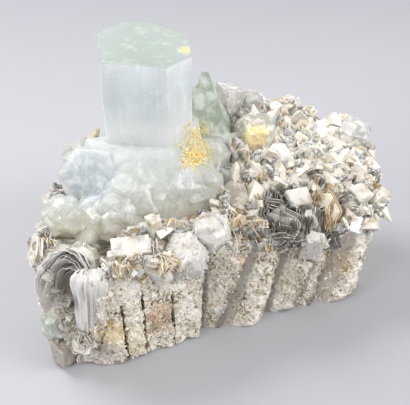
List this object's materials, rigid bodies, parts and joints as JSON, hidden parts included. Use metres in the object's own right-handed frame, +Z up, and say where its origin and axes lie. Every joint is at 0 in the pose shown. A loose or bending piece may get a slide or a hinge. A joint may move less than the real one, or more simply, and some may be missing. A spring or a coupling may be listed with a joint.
{
  "type": "aquamarine crystal specimen",
  "caption": "Stout hexagonal aquamarine prism with side crystals on a sawn slab of feldspar rock crusted with albite tablets and mica books.",
  "frame": {"origin": "middle of the specimen's footprint on the floor, under the middle of its box", "axes": "+X along the sawn front wall towards the low end without beryl, -Y out of the sawn front wall, +Z up along the main prism"},
  "size_m": [0.1657, 0.1025, 0.11],
  "materials": {
    "aquamarine": "gloss",
    "green_beryl": "gloss",
    "clear_crystal": "gloss",
    "white_feldspar": "satin",
    "mica": "gloss",
    "granular_feldspar": "matte"
  },
  "bodies": {
    "root": {"matrix": "granular_feldspar", "aquamarine_cluster": "aquamarine", "green_beryl_wedge": "green_beryl", "mica_sheaf": "mica", "clear_crystal_back": "clear_crystal", "grey_crystal_back": "clear_crystal", "iron_stained_crystal": "clear_crystal", "clear_crystal_right": "clear_crystal", "white_feldspar_lump": "white_feldspar", "white_feldspar_shoulder": "white_feldspar", "white_feldspar_block": "white_feldspar", "white_feldspar_chip": "white_feldspar", "white_albite_prism": "white_feldspar", "pale_albite_block": "white_feldspar", "albite_block_front": "white_feldspar", "albite_block_middle": "white_feldspar", "hexagonal_mica_plate": "mica", "dark_mica_book": "mica", "silver_mica_book": "mica", "brown_mica_book": "mica", "right_mica_book": "mica", "bright_mica_plate": "mica", "back_mica_plate": "mica", "edge_mica_plate": "mica", "corner_mica_plate": "mica", "left_mica_blade": "mica", "hidden_mica_blade": "mica", "grey_mica_block": "mica", "mica_rosette": "mica", "green_side_beryl": "green_beryl"}
  },
  "joints": []
}
